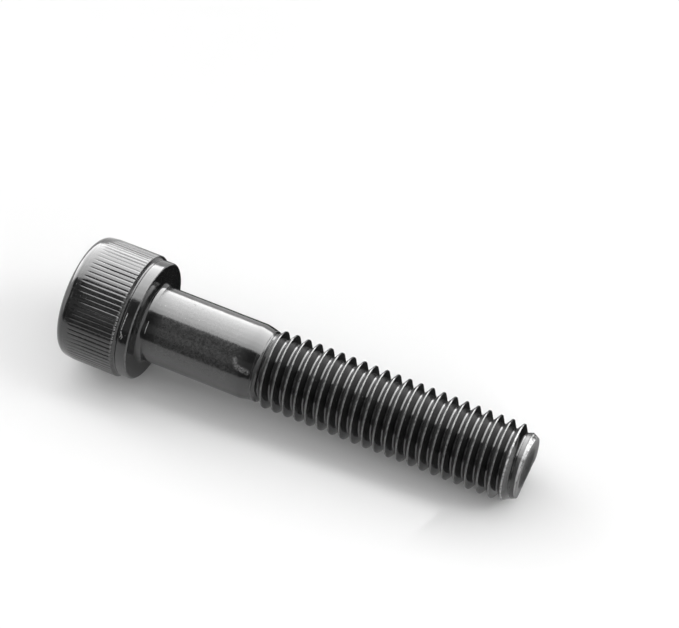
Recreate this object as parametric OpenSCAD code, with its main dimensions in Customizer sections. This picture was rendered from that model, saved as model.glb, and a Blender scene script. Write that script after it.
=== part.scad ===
// Socket head cap screw, metric coarse thread, partly threaded, knurled head.
// One forged and rolled piece. It lies on its side, the way it comes to rest:
// on the inner end of the knurl and on the thread near its tip.
// Origin: centre of the bearing face under the head. The tip points along +X.

/* [Thread] */
// Major diameter of the thread
thread_d = 9.82; // [9.74:0.01:9.96]
// Pitch of the thread
pitch = 1.5; // [1.45:0.01:1.55]
// Length under the head, from the bearing face to the tip
length = 50; // [40:0.5:80]
// Threaded length, from the tip to the first full crest
thread_l = 32.35; // [24:0.05:36]
// Root diameter of the thread
root_d = 8.06; // [7.90:0.01:8.20]
// Flat on each crest, as a share of the pitch
crest_share = 0.13; // [0.10:0.01:0.18]
// Flat in each root, as a share of the pitch
root_share = 0.15; // [0.12:0.01:0.20]
// Turns over which the first threads grow to full height
runout_turns = 2.4; // [1.5:0.1:3.0]
// Facets in a turn of the thread
turn_facets = 24; // [18:2:30]

/* [Shank] */
// Diameter of the plain shank
shank_d = 9.68; // [9.60:0.01:9.72]
// Radius of the fillet under the head
fillet_r = 0.7; // [0.5:0.05:0.9]
// Length of the taper from the shank down to the rolled part
taper_l = 2.1; // [1.5:0.1:3.0]
// Diameter of the blank where the rolled thread begins
blank_d = 8.88; // [8.80:0.01:8.98]

/* [Head] */
// Height of the head, bearing face to top
head_h = 9.65; // [9.6:0.05:10.0]
// Diameter over the knurl
knurl_d = 15.92; // [15.88:0.02:16.20]
// Number of ridges in the straight knurl
knurl_n = 78; // [66:2:90]
// Depth of the knurl's grooves
knurl_depth = 0.20; // [0.16:0.01:0.28]
// Flat on each ridge, as a share of its spacing
ridge_share = 0.56; // [0.45:0.01:0.65]
// Diameter of the plain collar beside the bearing face
collar_d = 15.20; // [15.10:0.02:15.30]
// Width of the plain collar
collar_w = 1.4; // [1.2:0.05:1.8]
// Diameter at the bottom of the groove between collar and knurl
groove_d = 14.98; // [14.80:0.02:15.04]
// Width of that groove at its bottom
groove_w = 0.30; // [0.20:0.01:0.40]
// Bevel at the edge of the bearing face
bearing_bevel = 0.16; // [0.10:0.01:0.25]
// Diameter of the smooth band between the knurl and the top of the head
band_d = 15.70; // [15.60:0.02:15.76]
// Radius of the rounded rim at the top of the head
rim_r = 1.2; // [1.15:0.05:1.4]
// Diameter of the flat ring on top of the head
ring_d = 14.30; // [14.2:0.05:14.6]

/* [Socket] */
// Width across the flats of the hexagon socket
hex_af = 8.08; // [8.03:0.01:8.17]
// Depth of the socket's flats
hex_depth = 5.4; // [5.0:0.1:5.6]
// Diameter of the bevel at the socket's mouth
mouth_d = 9.46; // [9.44:0.02:9.60]

/* [Tip] */
// Diameter of the flat end
tip_d = 7.68; // [7.50:0.02:7.80]
// Length of the chamfer on the thread at the tip
tip_bevel_l = 2.0; // [1.6:0.1:2.2]
// Distance from the tip to the last crest at full height
tip_crest = 2.715; // [2.4:0.005:3.2]
// Diameter of the hollow in the end
dish_d = 6.4; // [5.4:0.1:6.6]
// Depth of the hollow in the end
dish_depth = 0.7; // [0.3:0.05:0.8]
// Depth of the broken spot in the end's edge
chip_l = 0.36; // [0.20:0.02:0.46]

/* [Hidden] */
$fn = 96;

rk = knurl_d / 2;
rm = thread_d / 2;
rr = root_d / 2;
rb = blank_d / 2;
rs = shank_d / 2;
rt = tip_d / 2;
// length of the bevel on the knurl's inner end, and the station where the head rests
end_l = 0.14;
knurl_h = collar_w + (collar_d - groove_d) / 2 + groove_w + end_l;
// start of the rolled part, and the station where the thread rests
z_roll = length - thread_l - runout_turns * pitch * 0.5;
z_rest = length - tip_crest;
// the screw tips down toward its thin end until both touch
tilt = atan((rk - rm) / (knurl_h + z_rest));
rest_z = 0;
// angle of a ridge spacing and the thread's phase, chosen so that a crest is lowest at z_rest
ridge_a = 360 / knurl_n;
// station where the rounded rim begins
rim_z = -head_h + sqrt(pow(rim_r, 2) - pow(ring_d / 2 - (band_d / 2 - rim_r), 2));

// the knurled bar is trimmed by this turned envelope, bevelled at both ends
module envelope() {
    ro = rk + 0.1;
    z1 = -(knurl_h - end_l);
    slope = end_l / (rk - groove_d / 2);
    z2 = rim_z + 0.26;
    rotate_extrude()
        polygon([
            [0, z2 - (ro - band_d / 2) - 0.06], [band_d / 2 - 0.06, z2 - (ro - band_d / 2) - 0.06], [ro, z2],
            [ro, z1 - (ro - groove_d / 2) * slope], [groove_d / 2, z1], [0, z1]
        ]);
}

// the smooth band and rounded rim around the top of the head
module rim() {
    rc = band_d / 2 - rim_r;
    rotate_extrude() {
        translate([0, -head_h]) square([rc, head_h + rim_z + 0.3]);
        intersection() {
            translate([rc, rim_z]) circle(r = rim_r);
            translate([0, -head_h]) square([rk + 1, head_h + rim_z]);
        }
        polygon([[0, rim_z - 0.01], [band_d / 2, rim_z - 0.01], [rk - knurl_depth - 0.04, rim_z + 0.3], [0, rim_z + 0.3]]);
    }
}

module knurled_bar() {
    half = ridge_a * ridge_share / 2;
    translate([0, 0, -head_h + 0.5])
        linear_extrude(height = head_h - 0.5)
            polygon([
                for (i = [0:knurl_n - 1], k = [0:2])
                    let (a = (i + 0.5) * ridge_a + [-half, half, ridge_a / 2][k],
                         r = k == 2 ? rk - knurl_depth : rk)
                    [r * cos(a), r * sin(a)]
            ]);
}

// collar, fillet, shank and taper as one turned solid
module turned() {
    zt = z_roll;
    rotate_extrude() {
        difference() {
            polygon([
                [0, -head_h + 1], [groove_d / 2, -head_h + 1],
                [groove_d / 2, -(collar_w + (collar_d - groove_d) / 2)],
                [collar_d / 2, -collar_w], [collar_d / 2, -bearing_bevel],
                [collar_d / 2 - bearing_bevel, 0],
                [rs + fillet_r, 0], [rs + fillet_r, fillet_r], [rs, fillet_r],
                [rs, zt - taper_l], [rb + 0.02, zt], [0, zt]
            ]);
            translate([rs + fillet_r, fillet_r]) circle(r = fillet_r);
        }
    }
}

// rows of the thread's skewed grid: four to a turn, at these shares of the pitch
shares = [-crest_share / 2, crest_share / 2, 0.5 - root_share / 2, 0.5 + root_share / 2];
z_low = z_roll - 0.4;
phase = z_rest;
function row_z(i, j) =
    let (n = floor(i / 4))
    phase + pitch * (n + shares[i - 4 * n] + j / turn_facets) - pitch * round((phase - z_low) / pitch) - 2 * pitch;
function grow(z) =
    let (t = max(0, min(1, (z - z_roll) / (runout_turns * pitch))))
    t * t * (3 - 2 * t);
function row_r(i, z) =
    let (k = i - 4 * floor(i / 4), full = k < 2 ? rm : rr)
    min(rb + grow(z) * (full - rb), rt + (length - z) * (rm - rt) / tip_bevel_l);
row_n = 4 * (ceil((length - z_low) / pitch) + 5);
function rows(j) = [for (i = [0:row_n]) if (row_z(i, j) > z_low + 0.02 && row_z(i, j) < length - 0.02) i];
cols = [for (j = [0:turn_facets - 1]) rows(j)];
function sum_to(j) = j == 0 ? 0 : sum_to(j - 1) + len(cols[j - 1]) + 2;
base = [for (j = [0:turn_facets - 1]) sum_to(j)];
function at(j, r, z) = [r * cos(360 * j / turn_facets), r * sin(360 * j / turn_facets), z];
thread_points = [
    for (j = [0:turn_facets - 1])
        for (p = concat(
            [at(j, rb, z_low)],
            [for (i = cols[j]) at(j, row_r(i, row_z(i, j)), row_z(i, j))],
            [at(j, rt, length)]
        )) p
];
// index of a point: k is -1 for the lower end, len for the upper end
function low(j) = base[j];
function top(j) = base[j] + len(cols[j]) + 1;
function pt(j, i) = base[j] + 1 + i - cols[j][0];

// faces between a column and the next one, whose rows carry shifted numbers after a full turn
function strip(j) =
    let (b = (j + 1) % turn_facets,
         s = j + 1 == turn_facets ? 4 : 0,
         a0 = cols[j][0], a1 = cols[j][len(cols[j]) - 1],
         b0 = cols[b][0] - s, b1 = cols[b][len(cols[b]) - 1] - s,
         lo = max(a0, b0), hi = min(a1, b1))
    concat(
        [for (i = [lo:1:hi - 1]) each [[pt(j, i), pt(j, i + 1), pt(b, i + s)], [pt(b, i + s), pt(j, i + 1), pt(b, i + 1 + s)]]],
        [[low(j), pt(j, a0), low(b)]],
        [for (i = [a0:1:lo - 1]) [pt(j, i), pt(j, i + 1), low(b)]],
        [for (i = [b0:1:lo - 1]) [pt(j, lo), pt(b, i + 1 + s), pt(b, i + s)]],
        [[low(b), pt(j, lo), pt(b, b0 + s)]],
        [[pt(j, a1), top(j), top(b)]],
        [for (i = [hi:1:a1 - 1]) [pt(j, i), pt(j, i + 1), top(b)]],
        [for (i = [hi:1:b1 - 1]) [pt(j, hi), pt(b, i + 1 + s), pt(b, i + s)]],
        [[pt(b, b1 + s), pt(j, hi), top(b)]]
    );
thread_faces = concat(
    [for (j = [0:turn_facets - 1]) each strip(j)],
    [[for (j = [0:turn_facets - 1]) low(j)]],
    [[for (j = [turn_facets - 1:-1:0]) top(j)]]
);

module thread() {
    polyhedron(points = thread_points, faces = thread_faces, convexity = 12);
}

module socket() {
    translate([0, 0, -head_h - 1]) rotate([0, 0, 30]) cylinder(r = hex_af / 2 / cos(30), h = hex_depth + 1, $fn = 6);
    translate([0, 0, -head_h + hex_depth - 0.01]) cylinder(r1 = hex_af / 2 - 0.12, r2 = 0.3, h = 1.5);
    translate([0, 0, -head_h - 0.01]) cylinder(r1 = mouth_d / 2 + 0.01, r2 = hex_af / 2 - 0.1, h = mouth_d / 2 - hex_af / 2 + 0.11);
}

module dish() {
    translate([0, 0, length - dish_depth]) cylinder(r1 = dish_d / 2 - dish_depth * 1.5, r2 = dish_d / 2 + 0.015, h = dish_depth + 0.01);
}

// a flat break across the edge of the end
module chip() {
    chip_w = 1.4;
    rotate([0, 0, 5])
        translate([rt - chip_w, 0, length])
            rotate([0, atan(chip_l / chip_w), 0])
                translate([0, -5, 0]) cube([5, 10, 3]);
}

module screw() {
    color([0.09, 0.09, 0.10])
        translate([0, 0, rest_z])
            rotate([0, 90 + tilt, 0])
                difference() {
                    union() {
                        intersection() {
                            knurled_bar();
                            envelope();
                        }
                        rim();
                        turned();
                        thread();
                    }
                    socket();
                    dish();
                    chip();
                }
}

screw();
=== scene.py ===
import math

import bpy
import numpy as np
from mathutils import Matrix, Vector


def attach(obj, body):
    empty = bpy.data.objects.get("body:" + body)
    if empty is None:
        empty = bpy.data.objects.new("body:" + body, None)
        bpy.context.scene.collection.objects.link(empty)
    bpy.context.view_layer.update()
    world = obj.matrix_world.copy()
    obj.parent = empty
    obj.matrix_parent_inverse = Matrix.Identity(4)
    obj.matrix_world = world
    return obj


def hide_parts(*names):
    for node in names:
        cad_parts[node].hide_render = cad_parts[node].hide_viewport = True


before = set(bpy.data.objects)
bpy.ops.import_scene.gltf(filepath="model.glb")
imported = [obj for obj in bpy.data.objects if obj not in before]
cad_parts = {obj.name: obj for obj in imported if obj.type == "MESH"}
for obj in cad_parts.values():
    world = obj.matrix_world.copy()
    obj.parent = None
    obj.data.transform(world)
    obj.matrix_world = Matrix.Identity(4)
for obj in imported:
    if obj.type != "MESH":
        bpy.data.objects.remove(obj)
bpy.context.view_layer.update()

# ---------------------------------------------------------------- sizes, mm
THREAD_D, PITCH, LENGTH, ROOT_D = 9.82, 1.5, 50.0, 8.06
THREAD_L, RUNOUT = 32.35, 2.4
SHANK_D, FILLET, TAPER_L, BLANK_D = 9.68, 0.7, 2.1, 8.88
HEAD_H, KNURL_D, KNURL_N, KNURL_DEPTH = 9.65, 15.92, 78, 0.20
COLLAR_D, COLLAR_W, GROOVE_D, GROOVE_W, END_L, BEVEL = 15.20, 1.4, 14.98, 0.30, 0.14, 0.16
BAND_D, RIM_R, RING_D = 15.70, 1.2, 14.30
HEX_AF, HEX_DEPTH, MOUTH_D = 8.08, 5.4, 9.46
TIP_D, TIP_L, TIP_CREST, DISH_D, DISH_DEPTH = 7.68, 2.0, 2.715, 6.4, 0.7
CHIP_L, CHIP_W, CHIP_A = 0.36, 1.4, math.radians(5)

rk, rm, rr, rb, rs, rt = (d / 2 for d in (KNURL_D, THREAD_D, ROOT_D, BLANK_D, SHANK_D, TIP_D))
z_roll = LENGTH - THREAD_L - RUNOUT * PITCH * 0.5
z_rest = LENGTH - TIP_CREST
knurl_h = COLLAR_W + (COLLAR_D - GROOVE_D) / 2 + GROOVE_W + END_L
tilt = math.atan((rk - rm) / (knurl_h + z_rest))
rim_c = BAND_D / 2 - RIM_R
rim_z = -HEAD_H + math.sqrt(RIM_R ** 2 - (RING_D / 2 - rim_c) ** 2)
floor_z = knurl_h * math.sin(tilt) - rk * math.cos(tilt)

# columns around: knurled head, socket, body
NC = 10
NK, NS, NB = KNURL_N * NC, KNURL_N * 5, KNURL_N * 2

verts, faces, mats, wear, dull = [], [], [], [], []
count = 0


def add(pts, w=0.0):
    """Adds points (n x 3, mm) and returns their numbers."""
    global count
    pts = np.asarray(pts, float)
    verts.append(pts)
    wear.append(np.broadcast_to(np.asarray(w, float), (len(pts),)).copy())
    ids = np.arange(count, count + len(pts))
    count += len(pts)
    return ids


def ring(n, r, z, w=0.0):
    a = np.arange(n) * 2 * np.pi / n
    r = np.broadcast_to(r, (n,))
    z = np.broadcast_to(z, (n,))
    return add(np.stack([r * np.cos(a), r * np.sin(a), z], 1), w)


def band(a, b, mat=0):
    """Quads between two rings; b follows a along the profile."""
    n = len(a)
    for j in range(n):
        k = (j + 1) % n
        faces.append((a[j], a[k], b[k], b[j]))
        mats.append(mat)


def zip_rings(a, b, mat=0):
    """Joins rings whose counts are a whole multiple of each other."""
    if len(a) >= len(b):
        q = len(a) // len(b)
        for j in range(len(b)):
            k = (j + 1) % len(b)
            h = q // 2
            for i in range(q):
                faces.append((a[j * q + i], a[(j * q + i + 1) % len(a)], b[j] if i < h or q == 1 else b[k]))
                mats.append(mat)
            faces.append((a[(j * q + h) % len(a)], b[k], b[j]))
            mats.append(mat)
    else:
        q = len(b) // len(a)
        for j in range(len(a)):
            k = (j + 1) % len(a)
            h = q // 2
            for i in range(q):
                faces.append((b[(j * q + i + 1) % len(b)], b[j * q + i], a[j] if i < h else a[k]))
                mats.append(mat)
            faces.append((a[j], a[k], b[(j * q + h) % len(b)]))
            mats.append(mat)


def smooth_noise(a, z, seed, octaves=3):
    """Small repeatable waves over the surface, about -1 to 1."""
    rng = np.random.default_rng(seed)
    out = np.zeros(np.broadcast(a, z).shape)
    for o in range(octaves):
        for _ in range(4):
            k = rng.integers(1, 4 * 2 ** o)
            f = rng.uniform(0.3, 1.2) * 2 ** o
            p = rng.uniform(0, 6.283)
            out = out + np.sin(k * a + f * z + p) / (4 * 1.5 ** o)
    return out


# ---------------------------------------------------------------- socket
def hexagon(a):
    ap, rho = HEX_AF / 2, 0.16
    psi = (a % (math.pi / 3)) - math.pi / 6          # from the corner direction
    c0 = (ap - rho) / math.cos(math.pi / 6)
    lim = math.atan2(rho * 0.5, c0 + rho * math.cos(math.pi / 6))
    flat = ap / np.cos(math.pi / 6 - np.abs(psi))
    arc = c0 * np.cos(psi) + np.sqrt(np.maximum(rho ** 2 - (c0 * np.sin(psi)) ** 2, 0))
    return np.where(np.abs(psi) < lim, arc, flat)


ang = np.arange(NS) * 2 * np.pi / NS
hx = hexagon(ang)
mouth_r = MOUTH_D / 2
z_top, z_bot = -HEAD_H, -HEAD_H + HEX_DEPTH
centre = add([[0, 0, z_bot + 1.52]])
prev = ring(NS, 0.3, z_bot + 1.5)
for j in range(NS):
    faces.append((centre[0], prev[j], prev[(j + 1) % NS])[::1])
    mats.append(1)
for r, z in ((1.6, z_bot + 0.96), (2.9, z_bot + 0.42), (HEX_AF / 2 - 0.2, z_bot + 0.03)):
    nxt = ring(NS, r, z)
    band(prev, nxt, 1)
    prev = nxt
for f, dz in ((0.9925, 0.0), (0.9985, -0.02), (1.0, -0.06)):
    nxt = ring(NS, np.maximum(hx * f, HEX_AF / 2 - 0.14), z_bot + dz)
    band(prev, nxt, 1)
    prev = nxt
for t in (0.25, 0.5, 0.75):
    nxt = ring(NS, hx + (mouth_r - hx) * 0.0, z_bot + (z_top + 0.75 - z_bot) * t)
    band(prev, nxt, 1)
    prev = nxt
drop = mouth_r - hx
for q, dz in ((0.0, 0.10), (0.0, 0.03), (0.03, 0.0), (0.5, 0.0), (0.94, 0.0)):
    zz = z_top + drop * (1 - q) + dz
    nxt = ring(NS, hx + drop * q, np.maximum(zz, z_top))
    band(prev, nxt, 1 if q < 0.02 else 0)
    prev = nxt
for r, dz in ((mouth_r + 0.012, 0.008), (mouth_r + 0.05, 0.0), (mouth_r + 0.6, 0.0), (RING_D / 2 - 0.7, 0.0), (RING_D / 2 - 0.12, 0.0)):
    nxt = ring(NS, r, z_top + dz)
    band(prev, nxt, 3)
    prev = nxt

# ---------------------------------------------------------------- knurled head
cell = np.array([-0.5, -0.42, -0.34, -0.27, -0.19, 0.0, 0.19, 0.27, 0.34, 0.42])
low = np.array([1.0, 0.82, 0.32, 0.05, 0.005, 0.0, 0.005, 0.05, 0.32, 0.82])
edge = np.array([0.0, 0.0, 0.5, 1.0, 0.8, 0.5, 0.8, 1.0, 0.5, 0.0])
ridge_a = 2 * np.pi / KNURL_N
ka = (np.repeat(np.arange(KNURL_N), NC) + 0.5 + np.tile(cell, KNURL_N)) * ridge_a
kw = np.tile(low, KNURL_N)
ke = np.tile(edge, KNURL_N)
kseed = np.random.default_rng(11)
lift = np.repeat(kseed.normal(0, 0.007, KNURL_N), NC)      # ridges differ a little
deep = np.repeat(kseed.normal(0, 0.008, KNURL_N), NC)


def kring(env, z, bed=0.0, w=0.0, even=0.0):
    """A ring of the head: ridges trimmed by env, never below bed."""
    fade = 0.42 + 0.58 * min(max((z - rim_z - 0.2) / 2.6, 0), 1)
    r = rk - 0.004 - np.clip(0.31 * KNURL_DEPTH + deep, 0.045, 0.085) * fade * kw + np.minimum(lift, 0) * (1 - kw)
    r = np.minimum(r, env)
    r = np.maximum(r, bed)
    spot = 1 + 2.5 * np.exp(-((ka - math.radians(230)) / 0.22) ** 2)   # the ends of some ridges are knocked bare
    ids = add(np.stack([r * np.cos(ka), r * np.sin(ka), np.broadcast_to(z, r.shape)], 1), w * ke * (spot if w > 0.5 else 1))
    dull.append((ids[0], kw))
    return ids


def plain(r, z, w=0.0):
    return add(np.stack([r * np.cos(ka), r * np.sin(ka), np.full(NK, z)], 1), w)


first = plain(RING_D / 2 - 0.035, z_top)
zip_rings(prev, first, 3)
prev = first
a0 = math.acos((RING_D / 2 - rim_c) / RIM_R)
rows = [(RING_D / 2 + 0.01, z_top + 0.012)]
for t in np.linspace(0.96, 0.0, 10):
    rows.append((rim_c + RIM_R * math.cos(a0 * t), rim_z - RIM_R * math.sin(a0 * t)))
for r, z in rows:
    nxt = plain(r, z)
    band(prev, nxt)
    prev = nxt
bed_r = BAND_D / 2
rows = []
for x in (0.05, 0.14, 0.26, 0.40, 0.56, 0.76, 1.0):
    q = min(x / 0.95, 1.0)
    rows.append((rim_z + x, bed_r + (rk - bed_r) * q ** 0.8 + 0.004, bed_r - 0.01))
z_in = -knurl_h
rows += [(z, rk, 0.0) for z in np.linspace(rim_z + 1.5, z_in - 0.25, 6)]
rows += [
    (z_in - 0.06, rk, 0.0),
    (z_in - 0.015, rk - 0.010, 0.0),
    (z_in + 0.01, rk - 0.05, 0.0),
    (z_in + 0.04, rk - 0.12, 0.0),
    (z_in + 0.08, rk - 0.20, 0.0),
    (z_in + 0.13, rk - 0.28, 0.0),
    (z_in + 0.19, rk - 0.36, 0.0),
    (z_in + 0.27, GROOVE_D / 2 + 0.03, 0.0),
]
for z, env, bed in rows:
    nxt = kring(env, z, bed, 1.0 if z_in - 0.08 < z < z_in + 0.05 else 0.05 if bed else 0.12)
    band(prev, nxt)
    prev = nxt

# ---------------------------------------------------------------- collar, bearing face, shank
z_g = -(COLLAR_W + (COLLAR_D - GROOVE_D) / 2)
nxt = ring(NB, GROOVE_D / 2 + 0.008, z_in + 0.33)
zip_rings(prev, nxt)
prev = nxt
rc = COLLAR_D / 2
rows = [
    (GROOVE_D / 2 + 0.006, z_g - 0.06, 0), (GROOVE_D / 2 + 0.018, z_g - 0.01, 0), (rc - 0.072, z_g + 0.035, 0.1), (rc - 0.038, z_g + 0.08, 0.25), (rc - 0.01, z_g + 0.125, 0.3), (rc, z_g + 0.18, 0.1),
    (rc, -COLLAR_W * 0.72, 0), (rc, -COLLAR_W * 0.45, 0), (rc, -BEVEL - 0.09, 0), (rc - 0.008, -BEVEL - 0.03, 0.2), (rc - 0.03, -BEVEL + 0.02, 0.5),
    (rc - BEVEL + 0.03, -0.035, 0.5), (rc - BEVEL - 0.01, -0.008, 0.3), (rc - BEVEL - 0.06, 0, 0),
    (6.9, 0, 0), (6.3, 0, 0), (rs + FILLET + 0.12, 0, 0), (rs + FILLET, 0.002, 0),
]
for r, z, w in rows:
    nxt = ring(NB, r, z, w)
    band(prev, nxt)
    prev = nxt
for t in np.linspace(0, 1, 9)[1:]:
    a = t * math.pi / 2
    nxt = ring(NB, rs + FILLET * (1 - math.sin(a)), FILLET * (1 - math.cos(a)))
    band(prev, nxt)
    prev = nxt


def soft_ramp(x):
    x = np.clip(x, 0, 1)
    return x * x * (3 - 2 * x)


z_shoulder = z_roll - TAPER_L


def blank(z):
    """Radius of the shank, its taper and the rolled blank."""
    t = (np.asarray(z, float) - z_shoulder) / TAPER_L
    line = np.clip(t, 0, 1)
    return rs + (rb - rs) * (0.55 * line + 0.45 * soft_ramp(t))


z_start = z_roll - 0.88
bodya = np.arange(NB) * 2 * np.pi / NB
for z in list(np.linspace(FILLET + 0.5, z_shoulder - 0.35, 9)) + list(np.linspace(z_shoulder - 0.15, z_start, 9)):
    d = 0.006 * smooth_noise(bodya, z * 0.35, 3)
    nxt = ring(NB, blank(z) - 0.006 + d, z)
    band(prev, nxt)
    prev = nxt

# ---------------------------------------------------------------- thread
# a helix of rows: (place in the pitch, radius at full height, wear, marks of the rolling)
def profile_rows():
    crest = [(-0.066, rm - 0.024, 0.3), (-0.046, rm - 0.001, 1.0), (0.046, rm - 0.001, 1.0), (0.066, rm - 0.024, 0.3)]
    root = [(0.422, rr + 0.022, 0.0), (0.438, rr, 0.1), (0.562, rr, 0.1), (0.578, rr + 0.022, 0.0)]
    out = [(u, r, w, 0.0) for u, r, w in crest]
    a, b = crest[-1], root[0]
    out += [(a[0] + (b[0] - a[0]) * t, a[1] + (b[1] - a[1]) * t, 0.0, 0.0) for t in (0.08, 0.94)]
    out += [(u, r, w, 0.0) for u, r, w in root]
    a, b = root[-1], (1 + crest[0][0], crest[0][1])
    out += [(a[0] + (b[0] - a[0]) * t, a[1] + (b[1] - a[1]) * t, 0.0, 1.0) for t in (0.06, 0.92)]
    return out


PROF = profile_rows()
PU = np.array([p[0] for p in PROF])
PR = np.array([p[1] for p in PROF])
PW = np.array([p[2] for p in PROF])
PH = np.array([p[3] for p in PROF])
K = len(PROF)
z_crest = z_rest + 0.045                                  # a crest that points straight down
turn0 = math.floor((z_start - z_crest) / PITCH) - 2
turns = math.ceil((LENGTH - z_start) / PITCH) + 4
R = K * turns
i_all = np.arange(R)
u_all = turn0 + i_all // K + PU[i_all % K]                # in turns from the crest that rests
pr_all, pw_all, ph_all = PR[i_all % K], PW[i_all % K], PH[i_all % K]


def thread_radius(z, full, a):
    grow = np.where(full > rb, soft_ramp((z - z_roll + 0.85) / 1.75), soft_ramp((z - z_roll + 0.62) / 1.15))
    r = blank(z) + grow * (full - rb)
    r = r + 0.008 * grow * smooth_noise(a, z * 0.8, 7) - 0.008 * grow
    cone = rt + (LENGTH - z) * CONE
    cone = cone + 0.03 * smooth_noise(a, z, 5) * np.clip((LENGTH - z) * 2, 0, 1) - 0.015
    k = 0.05
    m = np.minimum(r, cone)
    return m - k * np.exp(-np.abs(r - cone) / k) * 0.5


def broken(r, a):
    """How far the broken spot takes the end back, at radius r and angle a."""
    out = r * np.cos(a - CHIP_A) - (rt - CHIP_W)
    out = out + 0.10 * smooth_noise(a, r * 0.4, 31)
    return np.maximum(out, 0) * CHIP_L / CHIP_W


CONE = (rm - rt) / TIP_L
grid = np.full((NB, R), -1)
start_ring = prev
lip_d = broken(rt, bodya) / (1 - CONE * CHIP_L / CHIP_W)
lip_d = lip_d + 0.05 + 0.03 * (1 + np.clip(smooth_noise(bodya, 2.0, 33), -1, 1)) * 0.5
lip_z = LENGTH - lip_d
lip_r = np.minimum(rt + lip_d * CONE, np.interp(((lip_z - z_crest) / PITCH - bodya / (2 * np.pi) + 0.09) % 1 - 0.09, PU, PR)) - 0.01
tip_ring = ring(NB, lip_r, lip_z, 2.2)
pts, ws, hs = [], [], []
for j in range(NB):
    z = z_crest + PITCH * (u_all + j / NB)
    r = thread_radius(z, pr_all, bodya[j])
    below, above = z <= z_start + 0.04, z >= lip_z[j] - 0.03
    grid[j, below] = start_ring[j]
    grid[j, above] = tip_ring[j]
    mid = np.where(~below & ~above)[0]
    grid[j, mid] = count + np.arange(len(mid))
    count += len(mid)
    pts.append(np.stack([r[mid] * math.cos(bodya[j]), r[mid] * math.sin(bodya[j]), z[mid]], 1))
    near = LENGTH - z[mid]
    trimmed = np.clip((pr_all[mid] - rt - near * CONE) / 0.06, 0, 1)
    ws.append(pw_all[mid] * soft_ramp((z[mid] - z_roll + 1) / 2.0) * (1 + 1.6 * soft_ramp((3.4 - near) / 2)) + 0.5 * trimmed + 2.0 * soft_ramp((0.62 - near) / 0.3))
    hs.append(ph_all[mid])
verts.append(np.concatenate(pts))
wear.append(np.concatenate(ws))
first_thread = count - sum(len(h) for h in hs)
hatch = np.concatenate(hs)
for j in range(NB):
    a = grid[j]
    b = grid[j + 1] if j + 1 < NB else np.concatenate([grid[0, K:], np.full(K, tip_ring[0])])
    for i in range(R - 1):
        q = (a[i], b[i], b[i + 1], a[i + 1])
        q = [v for n, v in enumerate(q) if v != q[n - 1]]
        if len(q) > 2 and len(set(q)) == len(q):
            faces.append(tuple(q))
            mats.append(0)

# ---------------------------------------------------------------- tip
prev = tip_ring
rd = DISH_D / 2
# a rounded ring, a gentle slope, then the hollow, a little off centre
rows = [(rt - 0.04, 0.05), (rt - 0.12, 0.03), (rt - 0.3, 0.005), (rt - 0.5, 0.0), (rd, 0.02), (rd - 0.25, 0.06), (rd - 0.48, 0.11), (rd - 0.62, 0.17)]
rows += [(2.5 * t, 0.22 + (DISH_DEPTH - 0.26) * (1 - t ** 3)) for t in (0.98, 0.92, 0.84, 0.74, 0.62, 0.46, 0.30, 0.15)]
off_a = math.radians(32)
for n, (r, d) in enumerate(rows):
    w = 0.0 if n == 0 else 0.03 * np.clip(smooth_noise(bodya, r * 0.7, 21), -1, 1)
    rr_ = r + (0.05 * smooth_noise(bodya, 1.0, 23) if 3 < n < 12 else lip_r - rt if n == 0 else 0)
    d = np.maximum(d, broken(rr_, bodya)) + (0.02 + w if n > 0 else np.minimum(lip_d * 0.2, 0.01))
    shift = 0.30 * soft_ramp((rt - 0.5 - r) / 0.8)
    nxt = ring(NB, rr_, LENGTH - np.maximum(d, 0.0), 2.4 if n < 6 else 1.8 if n == 6 else 0.6 if n == 7 else 0.0)
    verts[-1][:, 0] += shift * math.cos(off_a)
    verts[-1][:, 1] += shift * math.sin(off_a)
    band(prev, nxt, 2)
    prev = nxt
centre = add([[0.30 * math.cos(off_a), 0.30 * math.sin(off_a), LENGTH - DISH_DEPTH]])
for j in range(NB):
    faces.append((prev[j], prev[(j + 1) % NB], centre[0]))
    mats.append(2)

# ---------------------------------------------------------------- into the shared frame
v = np.concatenate(verts)
c, s = math.cos(tilt), math.sin(tilt)
world = np.stack([-v[:, 0] * s + v[:, 2] * c, v[:, 1], -v[:, 0] * c - v[:, 2] * s], 1) / 1000.0

mesh = bpy.data.meshes.new("screw_surface")
mesh.from_pydata(world.tolist(), [], [tuple(int(i) for i in f) for f in faces])
mesh.polygons.foreach_set("material_index", np.array(mats, np.int32))
mesh.polygons.foreach_set("use_smooth", np.ones(len(faces), bool))
att = mesh.attributes.new("worn", "FLOAT", "POINT")
att.data.foreach_set("value", np.concatenate(wear).astype(np.float32))
att = mesh.attributes.new("rolled", "FLOAT", "POINT")
rolled = np.zeros(len(v), np.float32)
rolled[first_thread:first_thread + len(hatch)] = hatch
att.data.foreach_set("value", rolled)
att = mesh.attributes.new("dull", "FLOAT", "POINT")
dulled = np.zeros(len(v), np.float32)
for at, values in dull:
    dulled[at:at + NK] = values
att.data.foreach_set("value", dulled)
mesh.validate()
mesh.update()
mesh.set_sharp_from_angle(angle=math.radians(30))
screw = bpy.data.objects.new("cap_screw", mesh)
bpy.context.scene.collection.objects.link(screw)


# ---------------------------------------------------------------- materials
def nodes_of(name):
    m = bpy.data.materials.new(name)
    m.use_nodes = True
    t = m.node_tree
    t.nodes.clear()
    return m, t


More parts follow.
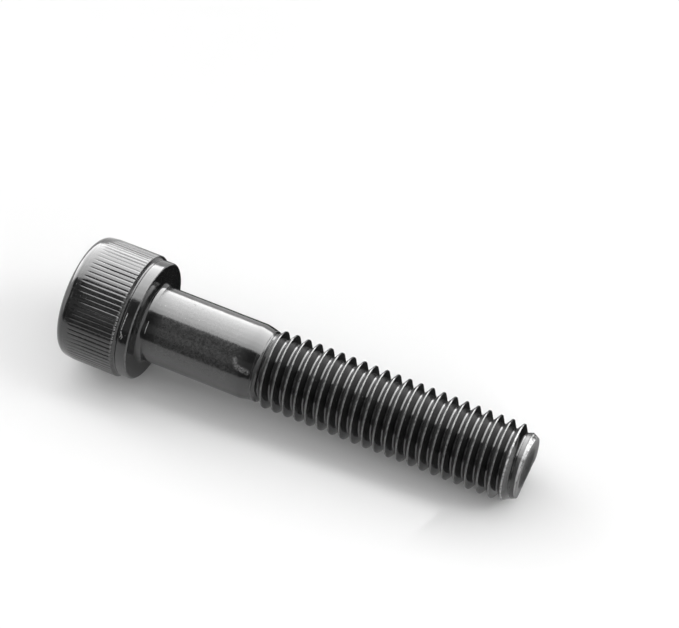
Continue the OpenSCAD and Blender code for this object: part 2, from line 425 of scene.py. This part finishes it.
class Tree:
    def __init__(self, tree):
        self.t = tree

    def node(self, kind, **values):
        n = self.t.nodes.new(kind)
        for k, val in values.items():
            setattr(n, k, val)
        return n

    def put(self, socket, value):
        if hasattr(value, "is_output"):
            self.t.links.new(value, socket)
        elif value is not None:
            socket.default_value = value

    def math(self, op, a, b=None, c=None, clamp=False):
        n = self.node("ShaderNodeMath", operation=op, use_clamp=clamp)
        self.put(n.inputs[0], a)
        self.put(n.inputs[1], b)
        self.put(n.inputs[2], c)
        return n.outputs[0]

    def span(self, x, a, b, c=0.0, d=1.0, smooth=False):
        n = self.node("ShaderNodeMapRange", clamp=True, interpolation_type="SMOOTHSTEP" if smooth else "LINEAR")
        self.put(n.inputs["Value"], x)
        for k, val in zip(("From Min", "From Max", "To Min", "To Max"), (a, b, c, d)):
            self.put(n.inputs[k], val)
        return n.outputs["Result"]

    def noise(self, vec, scale, detail=2.0, rough=0.5, distort=0.0):
        n = self.node("ShaderNodeTexNoise")
        self.put(n.inputs["Vector"], vec)
        n.inputs["Scale"].default_value = scale
        n.inputs["Detail"].default_value = detail
        n.inputs["Roughness"].default_value = rough
        n.inputs["Distortion"].default_value = distort
        return n.outputs["Fac"]

    def voronoi(self, vec, scale, out="Distance", feature="F1", rand=1.0):
        n = self.node("ShaderNodeTexVoronoi", feature=feature)
        self.put(n.inputs["Vector"], vec)
        n.inputs["Scale"].default_value = scale
        n.inputs["Randomness"].default_value = rand
        return n.outputs[out]

    def mix(self, fac, a, b):
        n = self.node("ShaderNodeMix", data_type="RGBA")
        self.put(n.inputs["Factor"], fac)
        self.put(n.inputs["A"], a)
        self.put(n.inputs["B"], b)
        return n.outputs["Result"]

    def fmix(self, fac, a, b):
        n = self.node("ShaderNodeMix", data_type="FLOAT")
        self.put(n.inputs["Factor"], fac)
        self.put(n.inputs["A"], a)
        self.put(n.inputs["B"], b)
        return n.outputs["Result"]

    def bump(self, height, strength, distance, normal=None):
        n = self.node("ShaderNodeBump")
        n.inputs["Strength"].default_value = strength
        n.inputs["Distance"].default_value = distance
        self.put(n.inputs["Height"], height)
        self.put(n.inputs["Normal"], normal)
        return n.outputs["Normal"]

    def dash(self, u, w, a, b, width):
        """1 on the line from a to b of the unrolled surface (station, arc, mm), fading out over its width."""
        du, dw = b[0] - a[0], b[1] - a[1]
        size = du * du + dw * dw
        pu, pw = self.math("SUBTRACT", u, a[0]), self.math("SUBTRACT", w, a[1])
        t = self.math("ADD", self.math("MULTIPLY", pu, du / size), self.math("MULTIPLY", pw, dw / size), clamp=True)
        ou = self.math("SUBTRACT", pu, self.math("MULTIPLY", t, du))
        ow = self.math("SUBTRACT", pw, self.math("MULTIPLY", t, dw))
        far = self.math("SQRT", self.math("ADD", self.math("MULTIPLY", ou, ou), self.math("MULTIPLY", ow, ow)))
        return self.span(far, width * 0.4, width, 1.0, 0.0)

    def screw_space(self):
        """Object coordinates in mm, X along the screw's axis."""
        co = self.node("ShaderNodeTexCoord").outputs["Object"]
        m = self.node("ShaderNodeMapping")
        self.put(m.inputs["Vector"], co)
        m.inputs["Scale"].default_value = (1000, 1000, 1000)
        m.inputs["Rotation"].default_value = (0, -tilt, 0)
        return m.outputs["Vector"]

    def split(self, vec):
        n = self.node("ShaderNodeSeparateXYZ")
        self.put(n.inputs[0], vec)
        return n.outputs

    def join(self, x, y, z):
        n = self.node("ShaderNodeCombineXYZ")
        for k, val in enumerate((x, y, z)):
            self.put(n.inputs[k], val)
        return n.outputs[0]

    def stretch(self, vec, scale):
        m = self.node("ShaderNodeMapping")
        self.put(m.inputs["Vector"], vec)
        m.inputs["Scale"].default_value = scale
        return m.outputs["Vector"]


def oxide(name, base=0.0035, rough=0.17, grain=1.0, dust=1.0, bare=0.5, ior=1.65, metal=0.50, marked=False):
    m, t = nodes_of(name)
    T = Tree(t)
    p = T.screw_space()
    worn = T.node("ShaderNodeAttribute", attribute_name="worn").outputs["Fac"]
    cloud = T.noise(p, 0.35, 3.0, 0.55)
    fine = T.noise(p, 2.6, 4.0, 0.6)
    micro = T.noise(p, 9.0, 3.0, 0.6)
    # pinholes and specks of dust
    cells = T.voronoi(p, 2.1)
    keep = T.noise(p, 1.1, 2.0)
    speck = T.math("MULTIPLY", T.span(cells, 0.05, 0.09, 1.0, 0.0), T.span(keep, 0.52, 0.60))
    speck = T.math("MULTIPLY", speck, dust)
    # faint handling scratches along and around
    sc1 = T.noise(T.stretch(p, (0.8, 9.0, 9.0)), 1.3, 2.0, 0.5)
    scratch = T.span(sc1, 0.66, 0.72)
    # bare metal where the oxide is rubbed off: crests, edges
    rub = T.math("MULTIPLY", worn, T.span(T.math("ADD", T.math("MULTIPLY", fine, 0.6), T.math("MULTIPLY", micro, 0.4)), 0.40, 0.60, 0.15, 1.0))
    rub = T.math("MULTIPLY", rub, bare, clamp=True)
    base_col = T.mix(T.span(cloud, 0.35, 0.7), (base * 0.7, base * 0.7, base * 0.72, 1), (base * 1.5, base * 1.5, base * 1.5, 1))
    # a dull rubbed haze on the plain shank
    place = T.split(p)
    haze = T.math("MULTIPLY", T.span(place[0], 1.0, 3.0, smooth=True), T.span(place[0], 11.5, 14.5, 1.0, 0.0, smooth=True))
    haze = T.math("MULTIPLY", haze, T.span(T.math("ADD", T.math("MULTIPLY", fine, 0.5), T.math("MULTIPLY", micro, 0.5)), 0.40, 0.62, 0.25, 1.0))
    base_col = T.mix(haze, base_col, (0.034, 0.034, 0.034, 1))
    base_col = T.mix(T.math("MULTIPLY", speck, 0.6), base_col, (0.22, 0.22, 0.22, 1))
    base_col = T.mix(rub, base_col, (metal, metal, metal, 1))
    rolled = T.node("ShaderNodeAttribute", attribute_name="rolled").outputs["Fac"]
    dull = T.node("ShaderNodeAttribute", attribute_name="dull").outputs["Fac"]
    angle = T.math("ARCTAN2", place[1], place[2])
    base_col = T.mix(T.math("MULTIPLY", rolled, 0.9), base_col, (0.010, 0.010, 0.010, 1))
    r = T.span(cloud, 0.3, 0.7, rough * 0.85, rough * 1.2)
    r = T.math("ADD", r, T.span(fine, 0.5, 0.75, 0.0, 0.10 * grain))
    r = T.math("ADD", r, T.math("MULTIPLY", speck, 0.35))
    r = T.math("ADD", r, T.math("MULTIPLY", rub, 0.10))
    r = T.math("ADD", r, T.math("MULTIPLY", T.math("MULTIPLY", rub, rub), 0.9))
    r = T.math("ADD", r, T.math("MULTIPLY", rolled, 0.19))
    r = T.math("ADD", r, T.math("MULTIPLY", dull, 0.12))
    r = T.math("ADD", r, T.math("MULTIPLY", scratch, 0.08), clamp=True)
    h = T.math("MULTIPLY", fine, 0.6)
    h = T.math("ADD", h, T.math("MULTIPLY", micro, 0.28))
    h = T.math("ADD", h, T.math("MULTIPLY", scratch, -0.12))
    h = T.math("ADD", h, T.math("MULTIPLY", speck, 0.5))
    # fine marks across the flanks of the thread
    around = T.math("MULTIPLY", angle, 4.5)
    cut = T.noise(T.join(around, T.math("MULTIPLY", place[0], 0.35), 0.0), 3.2, 1.0, 0.5)
    h = T.math("ADD", h, T.math("MULTIPLY", T.math("MULTIPLY", cut, rolled), 2.6))
    if marked:
        # rings left by the rolling at the end of the taper
        rings = T.noise(T.join(place[0], T.math("MULTIPLY", angle, 0.25), 0.0), 3.4, 1.0, 0.6)
        near = T.math("MULTIPLY", T.span(place[0], 14.3, 15.1, smooth=True), T.span(place[0], 15.9, 16.5, 1.0, 0.0, smooth=True))
        h = T.math("ADD", h, T.math("MULTIPLY", T.math("MULTIPLY", rings, near), 6.0))
        arcs = T.math("MULTIPLY", T.span(rings, 0.54, 0.60), T.span(place[0], 14.9, 15.3, smooth=True))
        arcs = T.math("MULTIPLY", arcs, T.span(place[0], 16.0, 16.5, 1.0, 0.0, smooth=True))
        # one scratch on the collar, a painted highlight (a glint) along the fillet, a scuff on the shank and two pits
        on_collar, on_shank = T.math("MULTIPLY", angle, 7.6), T.math("MULTIPLY", angle, 4.84)
        scratch_and_glint_lines = [T.dash(place[0], on_collar, a, b, wide) for a, b, wide in (
            ((-1.08, -4.15), (-1.12, -5.28), 0.055), ((-1.12, -5.28), (-1.20, -6.35), 0.065), ((-1.20, -6.55), (-1.06, -6.95), 0.06),
            ((-1.06, -6.95), (-1.16, -7.35), 0.05), ((-0.98, -7.50), (-0.86, -7.20), 0.05), ((-0.86, -7.20), (-1.02, -6.85), 0.05))]
        # painted highlight: a pale line that stands for a glint along the fillet
        scratch_and_glint_lines.append(T.dash(place[0], on_shank, (0.90, -2.75), (0.86, -4.30), 0.07))
        scratch_and_glint = scratch_and_glint_lines[0]
        for one in scratch_and_glint_lines[1:]:
            scratch_and_glint = T.math("MAXIMUM", scratch_and_glint, one)
        scratch_and_glint = T.math("MULTIPLY", scratch_and_glint, T.span(micro, 0.40, 0.60, 0.12, 0.62))
        scuff = T.math("MAXIMUM", T.dash(place[0], on_shank, (12.75, -3.1), (12.9, -3.6), 0.36), T.dash(place[0], on_shank, (13.2, -3.95), (14.6, -4.2), 0.46))
        scuff = T.math("MULTIPLY", scuff, T.span(T.noise(p, 7.0, 3.0, 0.75), 0.38, 0.64))
        pits = T.math("MAXIMUM", T.dash(place[0], on_shank, (5.0, 1.76), (5.2, 1.75), 0.13), T.dash(place[0], on_shank, (6.28, 1.43), (6.38, 1.40), 0.12))
        # the collar scratch and the scuff are pale marks of their own; the pale line along the fillet is a painted
        # highlight
        base_col = T.mix(T.math("MAXIMUM", scratch_and_glint, T.math("MULTIPLY", scuff, 0.19)), base_col, (0.62, 0.62, 0.62, 1))
        base_col = T.mix(T.math("MULTIPLY", pits, 0.8), base_col, (0.004, 0.004, 0.004, 1))
        r = T.math("ADD", r, T.math("MULTIPLY", arcs, 0.45))
        r = T.math("ADD", r, T.math("MULTIPLY", T.math("ADD", scratch_and_glint, T.math("ADD", scuff, pits)), 0.30), clamp=True)
        h = T.math("SUBTRACT", h, T.math("MULTIPLY", pits, 2.0))
    n = T.bump(h, 0.35 * grain, 0.00002)
    n = T.bump(cloud, 0.35, 0.00006, n)
    b = T.node("ShaderNodeBsdfPrincipled")
    T.put(b.inputs["Base Color"], base_col)
    T.put(b.inputs["Metallic"], rub)
    T.put(b.inputs["Roughness"], r)
    T.put(b.inputs["Normal"], n)
    b.inputs["IOR"].default_value = ior
    out = T.node("ShaderNodeOutputMaterial")
    t.links.new(b.outputs["BSDF"], out.inputs["Surface"])
    return m


black = oxide("black_oxide", rough=0.13, bare=0.25, marked=True)
inside = oxide("black_oxide_socket", base=0.006, rough=0.26, grain=1.3, dust=0.4)
end = oxide("black_oxide_end", base=0.005, rough=0.44, grain=2.0, dust=0.6, bare=0.25, ior=1.38, metal=0.32)
top = oxide("black_oxide_top", base=0.006, rough=0.22, grain=1.2, dust=0.6)
for m in (black, inside, end, top):
    mesh.materials.append(m)

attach(screw, "root")
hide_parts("screw")

# ---------------------------------------------------------------- floor
fl = bpy.data.meshes.new("floor_mesh")
w = 4.0
zf = floor_z / 1000
fl.from_pydata([(-w, -w, zf), (w, -w, zf), (w, w, zf), (-w, w, zf)], [], [(0, 1, 2, 3)])
floor = bpy.data.objects.new("floor", fl)
bpy.context.scene.collection.objects.link(floor)
fm, ft = nodes_of("pale_board")
T = Tree(ft)
co = T.node("ShaderNodeTexCoord").outputs["Object"]
b = T.node("ShaderNodeBsdfPrincipled")
T.put(b.inputs["Base Color"], T.mix(T.span(T.noise(co, 6.0, 3.0), 0.3, 0.7), (0.83, 0.83, 0.83, 1), (0.87, 0.87, 0.87, 1)))
T.put(b.inputs["Roughness"], T.span(T.noise(co, 300.0, 2.0), 0.3, 0.7, 0.42, 0.50))
b.inputs["Specular IOR Level"].default_value = 0.0
out = T.node("ShaderNodeOutputMaterial")
ft.links.new(b.outputs["BSDF"], out.inputs["Surface"])
fl.materials.append(fm)

# a dark card on the floor behind, seen only in reflections
cd = bpy.data.meshes.new("card_mesh")
zc = zf + 0.0002
outline = ((-0.012, 0.0085), (0.18, 0.0085), (0.18, 0.055), (0.034, 0.055), (0.010, 0.022), (-0.012, 0.022))
cd.from_pydata([(x, y, zc) for x, y in outline], [], [tuple(range(len(outline)))])
card = bpy.data.objects.new("dark_card", cd)
bpy.context.scene.collection.objects.link(card)
cm, ct = nodes_of("black_card")
T = Tree(ct)
b = T.node("ShaderNodeBsdfDiffuse")
b.inputs["Color"].default_value = (0.02, 0.02, 0.02, 1)
out = T.node("ShaderNodeOutputMaterial")
ct.links.new(b.outputs["BSDF"], out.inputs["Surface"])
cd.materials.append(cm)
for flag in ("visible_camera", "visible_diffuse", "visible_shadow", "visible_transmission", "visible_volume_scatter"):
    setattr(card, flag, False)


# ---------------------------------------------------------------- lights
def softbox(name, a, b, x0, x1, radiance, glossy=True, diffuse=True):
    """A rectangular soft light from edge point a to edge point b (y, z in metres), from x0 to x1 along X."""
    mid = Vector(((x0 + x1) / 2, (a[0] + b[0]) / 2, (a[1] + b[1]) / 2))
    run = Vector((0, b[0] - a[0], b[1] - a[1]))
    up = run.normalized()
    normal = Vector((1, 0, 0)).cross(up).normalized()
    if normal.dot(Vector((0.02, 0, 0)) - mid) < 0:
        normal = -normal
    z = -normal
    x = up.cross(z).normalized()
    light = bpy.data.lights.new(name, "AREA")
    light.shape = "RECTANGLE"
    light.size = x1 - x0
    light.size_y = run.length
    light.energy = radiance * math.pi * run.length * (x1 - x0)
    o = bpy.data.objects.new(name, light)
    o.matrix_world = Matrix((
        (x.x, up.x, z.x, mid.x),
        (x.y, up.y, z.y, mid.y),
        (x.z, up.z, z.z, mid.z),
        (0, 0, 0, 1),
    ))
    o.visible_glossy = glossy
    o.visible_diffuse = diffuse
    bpy.context.scene.collection.objects.link(o)
    return o


def soft_side(name, x, ys, zs, radiance):
    """An upright soft light across the X axis, facing the screw."""
    light = bpy.data.lights.new(name, "AREA")
    light.shape = "RECTANGLE"
    light.size, light.size_y = ys[1] - ys[0], zs[1] - zs[0]
    light.energy = radiance * math.pi * light.size * light.size_y
    o = bpy.data.objects.new(name, light)
    to = -1.0 if x > 0 else 1.0                              # the way it shines
    o.matrix_world = Matrix((
        (0, 0, -to, x),
        (-to, 0, 0, (ys[0] + ys[1]) / 2),
        (0, 1, 0, floor_z / 1000 + (zs[0] + zs[1]) / 2),
        (0, 0, 0, 1),
    ))
    bpy.context.scene.collection.objects.link(o)
    return o


# one big soft light from overhead down to the floor behind, brighter towards the floor;
# its share on the floor and its share in the reflections are set apart
top_p, low_p = Vector((-0.03, 0.60)), Vector((0.95, 0.0))
steps = (0.0, 0.12, 0.24, 0.36, 0.50, 0.70, 1.0)
in_steel = (4.3, 5.5, 6.8, 7.7, 8.3, 8.9)
on_floor = (4.2, 5.1, 6.4, 7.2, 0.0, 0.0)
for i in range(6):
    a, b = top_p.lerp(low_p, steps[i]), top_p.lerp(low_p, steps[i + 1])
    softbox("soft_main_%d" % i, a, b, -2.0, 0.50, in_steel[i], diffuse=False)
    if on_floor[i]:
        softbox("soft_floor_%d" % i, a, b, -0.95, 0.8, on_floor[i], glossy=False)
softbox("soft_fill", (-0.75, 0.35), (-0.50, 0.60), -0.5, 0.5, 0.18)
softbox("soft_even", (-0.9, 0.9), (0.3, 0.9), -0.6, 0.6, 0.68, glossy=False)
soft_side("soft_right", 0.95, (-0.9, 0.4), (0.0, 1.1), 1.2)
soft_side("soft_left", -1.1, (-0.9, 0.6), (0.0, 1.1), 1.9)

world_bg = bpy.data.worlds.new("studio")
bpy.context.scene.world = world_bg
world_bg.use_nodes = True
bg = world_bg.node_tree.nodes["Background"]
bg.inputs["Color"].default_value = (1, 1, 1, 1)
bg.inputs["Strength"].default_value = 0.09

# ---------------------------------------------------------------- camera
D = 9.8                                                   # the camera was fitted in units of this, mm
H, al, f, ro = 29.2102, 0.9508, 2779.72, 0.1013
Ax, Ay, Ath = -2.3371, 20.4562, -0.5194


def turn(p):
    ca, sa = math.cos(-Ath), math.sin(-Ath)
    return Vector((p[0] * ca - p[1] * sa, p[0] * sa + p[1] * ca, p[2]))


fw = Vector((0, math.cos(al), -math.sin(al)))
rt_ = Vector((1, 0, 0))
dn = Vector((0, -math.sin(al), -math.cos(al)))
cr, sr = math.cos(ro), math.sin(ro)
R0 = turn(cr * rt_ + sr * dn)
R1 = turn(-sr * rt_ + cr * dn)
R2 = turn(fw)
place = turn((-Ax, -Ay, H + floor_z / D)) * (D / 1000)
cam_data = bpy.data.cameras.new("camera")
cam_data.sensor_width = 36.0
cam_data.lens = f / 679 * 36.0
cam_data.clip_start, cam_data.clip_end = 0.01, 20
cam = bpy.data.objects.new("camera", cam_data)
x, y, z = R0, -R1, -R2
cam.matrix_world = Matrix((
    (x.x, y.x, z.x, place.x),
    (x.y, y.y, z.y, place.y),
    (x.z, y.z, z.z, place.z),
    (0, 0, 0, 1),
))
bpy.context.scene.collection.objects.link(cam)
bpy.context.scene.camera = cam
bpy.context.scene.view_settings.view_transform = "Standard"
